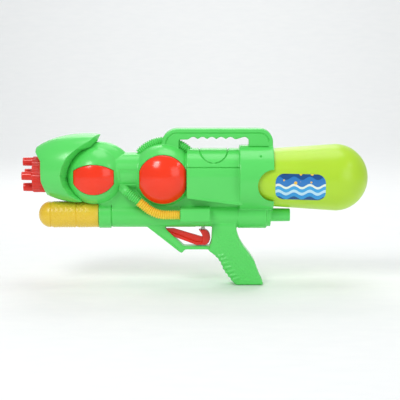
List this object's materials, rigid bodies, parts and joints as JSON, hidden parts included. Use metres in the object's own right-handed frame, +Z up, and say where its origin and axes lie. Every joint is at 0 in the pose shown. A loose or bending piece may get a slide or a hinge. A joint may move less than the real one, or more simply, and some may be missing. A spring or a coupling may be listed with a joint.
{
  "type": "water squirter",
  "caption": "Toy pump water squirter with ball-shaped body, carry handle, screw-on tank, sliding pump handle, sprung trigger and turning nozzle head.",
  "frame": {"origin": "middle of the flat base of the grip, on the plane between the two body halves", "axes": "+X towards the tank, the muzzle points along -X; +Y towards the right side; +Z up"},
  "size_m": [0.4695, 0.091, 0.214],
  "materials": {
    "green_shell": "gloss moulded ABS",
    "red_lens": "gloss moulded plastic",
    "red_trigger": "gloss moulded plastic",
    "red_nozzle": "gloss moulded plastic",
    "yellow_handle": "moulded plastic with a fine dot texture",
    "yellow_hose": "soft ribbed plastic",
    "lime_tank": "blown polyethylene, slightly translucent",
    "white_plastic": "moulded acetal",
    "milky_tube": "soft PVC tube",
    "black_rubber": "moulded rubber",
    "zinc_steel": "bright zinc plating"
  },
  "bodies": {
    "housing": {"left_body_half": "green_shell", "right_body_half": "green_shell", "nose_cowl": "green_shell", "left_front_lens": "red_lens", "left_rear_lens": "red_lens", "right_front_lens": "red_lens", "right_rear_lens": "red_lens", "left_hose": "yellow_hose", "right_hose": "yellow_hose", "nozzle_spigot": "white_plastic", "tank_socket": "white_plastic", "pump_cylinder": "white_plastic", "pump_guide_ring": "white_plastic", "pump_end_cap": "white_plastic", "valve_body": "white_plastic", "pickup_tube": "milky_tube", "pressure_tube": "milky_tube", "feed_tube": "milky_tube", "outlet_tube": "milky_tube", "nozzle_o_ring": "black_rubber", "check_valve_disc": "black_rubber", "valve_seal": "black_rubber", "nozzle_screw": "zinc_steel", "trigger_pin": "zinc_steel", "valve_spring": "zinc_steel", "body_screw_handle_front": "zinc_steel", "body_screw_handle_rear": "zinc_steel", "body_screw_neck": "zinc_steel", "body_screw_web_front": "zinc_steel", "body_screw_web_rear": "zinc_steel", "body_screw_upper_rear": "zinc_steel", "body_screw_sleeve": "zinc_steel", "body_screw_grip_top": "zinc_steel", "body_screw_grip_base": "zinc_steel"},
    "pump": {"pump_handle": "yellow_handle", "pump_rod": "white_plastic", "pump_piston": "white_plastic", "piston_ring": "black_rubber"},
    "trigger": {"trigger": "red_trigger"},
    "valve_stem": {"valve_stem": "white_plastic"},
    "nozzle_head": {"nozzle_head": "red_nozzle"},
    "tank_seal": {"tank_seal": "black_rubber"},
    "tank": {"tank": "lime_tank"}
  },
  "joints": [
    {"name": "pump_slide", "type": "slide", "parent": "housing", "child": "pump", "axis": [-1, 0, 0], "range_m": [0, 0.075]},
    {"name": "trigger_pull", "type": "hinge", "parent": "housing", "child": "trigger", "pos_m": [-0.117, 0, 0.0738], "axis": [0, -1, 0], "range_deg": [0, 8], "stiffness_Nm_per_rad": 0.5, "springref_deg": -5.73},
    {"name": "valve_lift", "type": "slide", "parent": "housing", "child": "valve_stem", "axis": [0, 0, 1], "range_m": [0, 0.0085], "deforming": ["valve_spring"]},
    {"name": "nozzle_turn", "type": "hinge", "parent": "housing", "child": "nozzle_head", "pos_m": [-0.295, 0, 0.151], "axis": [-1, 0, 0], "continuous": true},
    {"name": "tank_turn", "type": "hinge", "parent": "housing", "child": "tank_seal", "pos_m": [-0.026, 0, 0.147], "axis": [1, 0, 0], "range_deg": [0, 540]},
    {"name": "tank_advance", "type": "slide", "parent": "tank_seal", "child": "tank", "axis": [1, 0, 0], "range_m": [0, 0.0061]}
  ],
  "couplings": [
    {"joint": "valve_lift", "follows": "trigger_pull", "m_per_rad": 0.0565},
    {"joint": "tank_advance", "follows": "tank_turn", "m_per_rad": 0.00063662}
  ]
}
